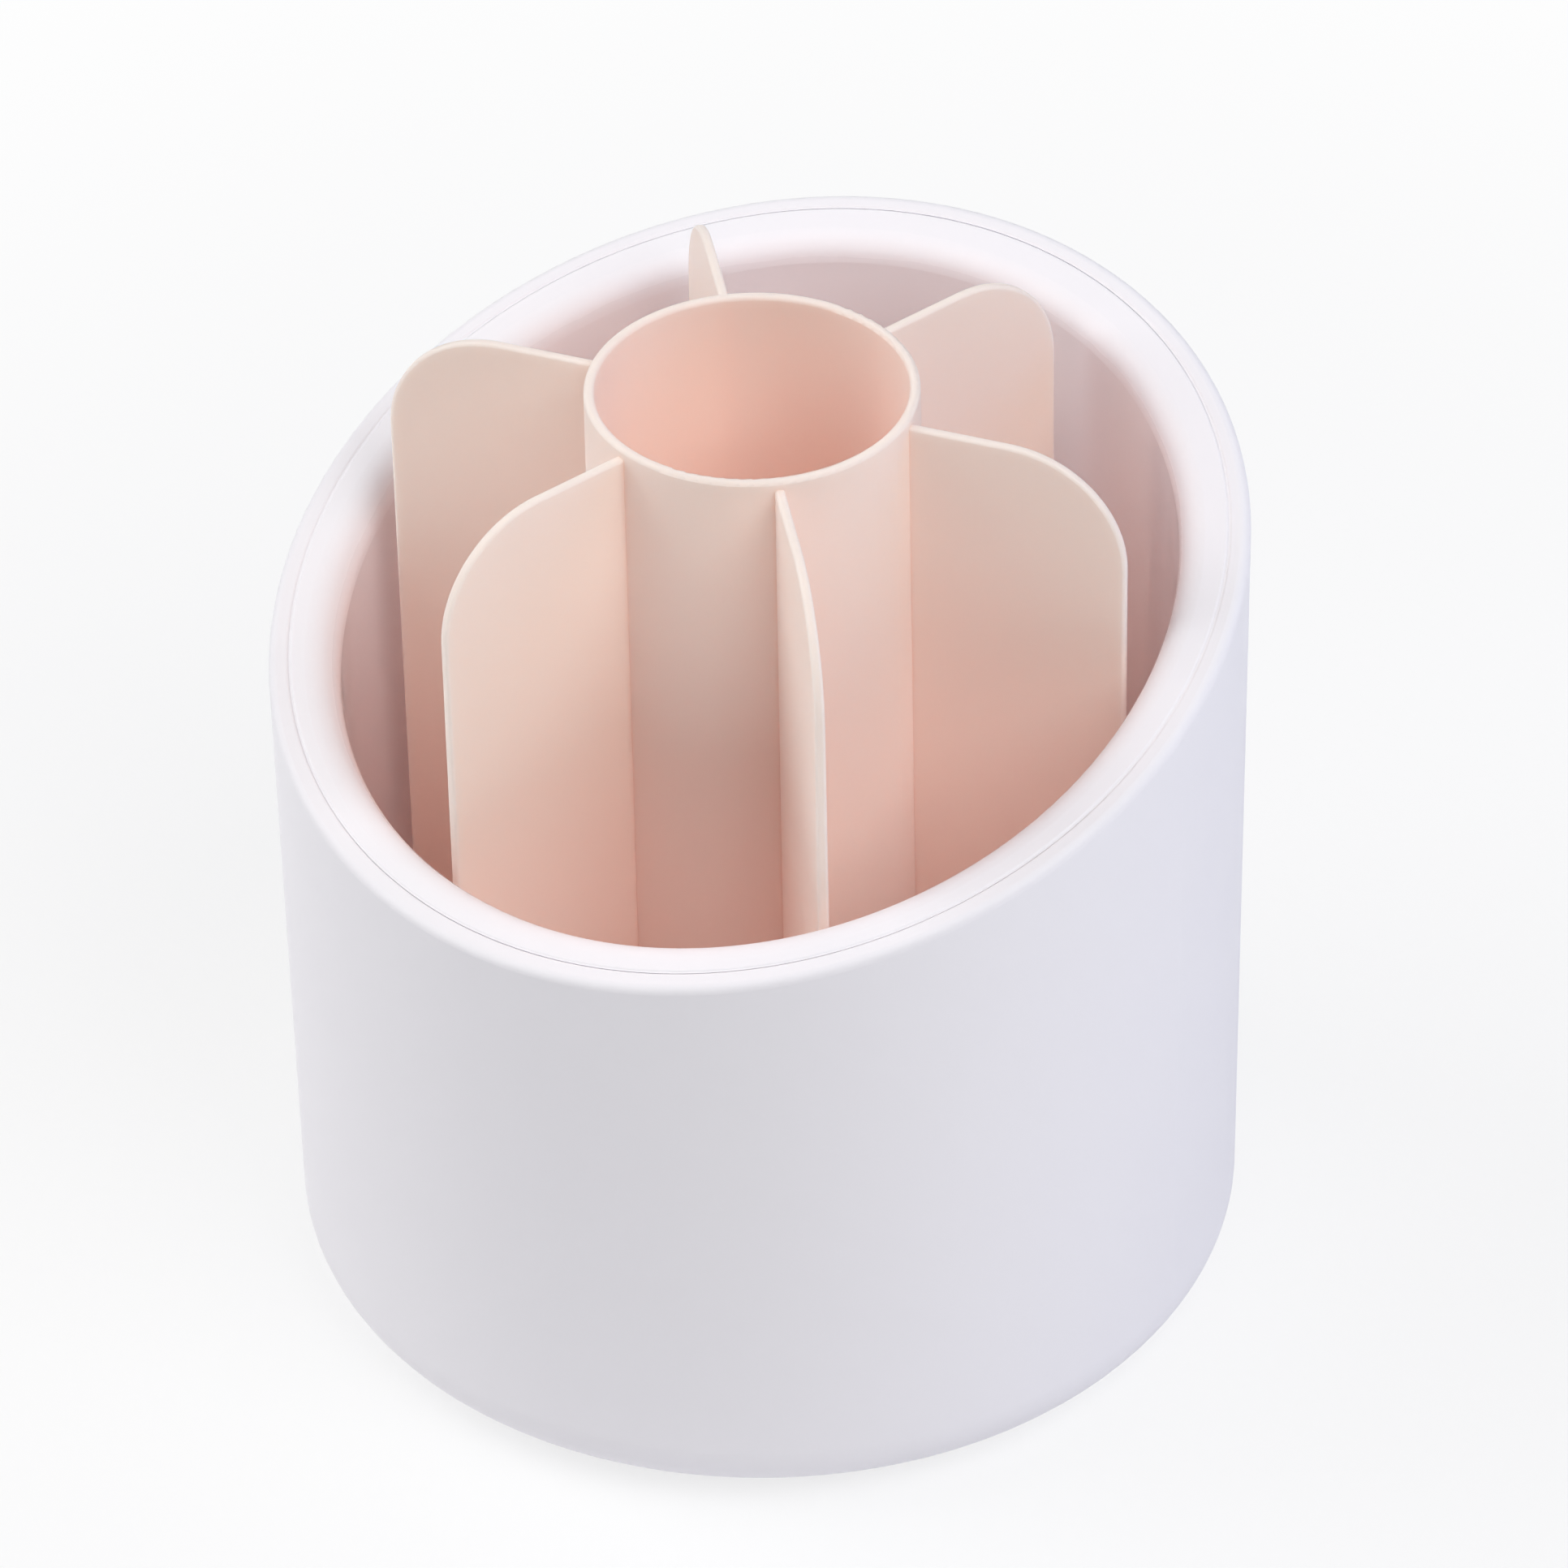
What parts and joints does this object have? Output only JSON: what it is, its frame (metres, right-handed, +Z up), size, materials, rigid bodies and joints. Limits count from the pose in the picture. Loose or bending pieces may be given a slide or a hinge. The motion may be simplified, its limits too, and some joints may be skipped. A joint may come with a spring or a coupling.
{
  "type": "rotating makeup organizer",
  "caption": "Round slant-mouthed barrel with a lift-out pink insert, a tube ringed by divider fins, that turns on a ball race to hold makeup brushes and pencils.",
  "frame": {"origin": "on the table under the centre of the barrel, at the feet's lower faces", "axes": "+Z up along the turning axis, the low side of the slanted mouth towards -Y, +X to the right seen from that side"},
  "size_m": [0.13, 0.13, 0.1384],
  "materials": {
    "shell_white": "smooth moulded white plastic, satin gloss",
    "liner_white": "smooth moulded white plastic, glossy inside",
    "insert_pink": "moulded pale pink plastic, satin",
    "turntable_white": "moulded white plastic, matt",
    "cage_plastic": "moulded natural plastic, matt",
    "ball_steel": "polished steel",
    "washer_steel": "plated steel",
    "screw_steel": "plated steel",
    "foot_rubber": "soft grey rubber"
  },
  "bodies": {
    "housing": {"outer_shell": "shell_white", "inner_liner": "liner_white", "pivot_washer": "washer_steel", "pivot_screw": "screw_steel", "base_screw_1": "screw_steel", "base_screw_2": "screw_steel", "base_screw_3": "screw_steel", "base_screw_4": "screw_steel", "foot_1": "foot_rubber", "foot_2": "foot_rubber", "foot_3": "foot_rubber", "foot_4": "foot_rubber"},
    "ball_cage": {"bearing_cage": "cage_plastic", "bearing_ball_01": "ball_steel", "bearing_ball_02": "ball_steel", "bearing_ball_03": "ball_steel", "bearing_ball_04": "ball_steel", "bearing_ball_05": "ball_steel", "bearing_ball_06": "ball_steel", "bearing_ball_07": "ball_steel", "bearing_ball_08": "ball_steel", "bearing_ball_09": "ball_steel", "bearing_ball_10": "ball_steel", "bearing_ball_11": "ball_steel", "bearing_ball_12": "ball_steel"},
    "turntable": {"turntable": "turntable_white"},
    "insert": {"brush_insert": "insert_pink"}
  },
  "joints": [
    {"name": "turntable_spin", "type": "hinge", "parent": "housing", "child": "turntable", "pos_m": [0, 0, 0.0186], "axis": [0, 0, 1], "continuous": true},
    {"name": "cage_orbit", "type": "hinge", "parent": "housing", "child": "ball_cage", "pos_m": [0, 0, 0.0159], "axis": [0, 0, 1], "continuous": true},
    {"name": "insert_lift", "type": "slide", "parent": "turntable", "child": "insert", "axis": [0, 0, 1], "range_m": [0, 0.112]}
  ],
  "couplings": [
    {"joint": "cage_orbit", "follows": "turntable_spin", "ratio": 0.5}
  ]
}
